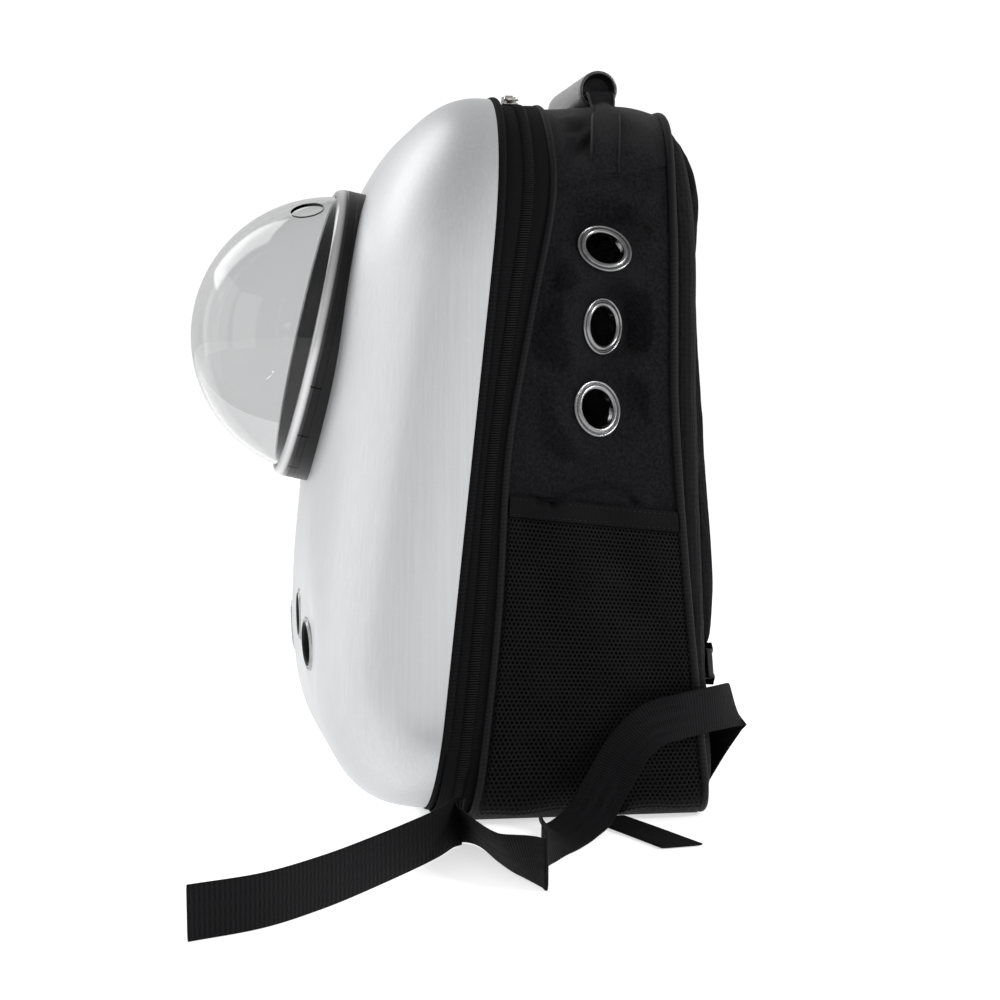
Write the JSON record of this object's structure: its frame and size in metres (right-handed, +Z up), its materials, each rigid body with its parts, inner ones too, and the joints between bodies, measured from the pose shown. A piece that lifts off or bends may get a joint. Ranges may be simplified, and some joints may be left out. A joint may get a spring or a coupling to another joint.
{
  "type": "pet carrier backpack",
  "caption": "Pet carrier backpack with a hard silver front shell, a clear dome window, a zipped fabric body with eyelet vents, net side pockets, a grab handle and shoulder straps.",
  "frame": {"origin": "on the floor, in the middle of the fabric base", "axes": "+Z up, -Y towards the front shell and its dome, +Y towards the wearer, +X to the side with the loose strap"},
  "size_m": [0.5777, 0.3258, 0.4325],
  "materials": {
    "shell": "silver film under a gloss clear coat",
    "dome": "clear moulded plastic",
    "ring": "black satin plastic",
    "eyelet": "dark nickel",
    "fabric": "woven black cloth with a slight sheen",
    "padding": "black padded cloth",
    "piping": "black piping",
    "zip_tape": "black tape with a nylon coil",
    "net": "black open net",
    "webbing": "black ribbed webbing",
    "grip": "smooth black leatherette",
    "buckle": "black plastic",
    "slider": "polished zinc"
  },
  "bodies": {
    "bag": {"back_panel": "padding", "base_panel": "fabric", "body_piping": "piping", "front_shell": "shell", "front_vent_1": "eyelet", "front_vent_2": "eyelet", "front_vent_3": "eyelet", "handle_grip": "grip", "handle_leg_left": "webbing", "handle_leg_right": "webbing", "lower_webbing_left": "webbing", "lower_webbing_right": "webbing", "pocket_hem_left": "piping", "pocket_hem_right": "piping", "pocket_left": "net", "pocket_right": "net", "shell_binding": "piping", "shoulder_strap_left": "padding", "shoulder_strap_right": "padding", "side_panel_left": "fabric", "side_panel_right": "fabric", "side_vent_left_1": "eyelet", "side_vent_left_2": "eyelet", "side_vent_left_3": "eyelet", "side_vent_right_1": "eyelet", "side_vent_right_2": "eyelet", "side_vent_right_3": "eyelet", "strap_buckle_left": "buckle", "strap_buckle_right": "buckle", "top_panel": "fabric", "webbing_end": "webbing", "window_dome": "dome", "window_ring": "ring", "zip_band": "zip_tape", "zip_slider": "slider"},
    "pull": {"zip_pull": "slider"}
  },
  "joints": [
    {"name": "zip_pull_hinge", "type": "hinge", "parent": "bag", "child": "pull", "pos_m": [0.048, -0.02999, 0.41545], "axis": [0, -1, 0], "range_deg": [0, 190]}
  ]
}
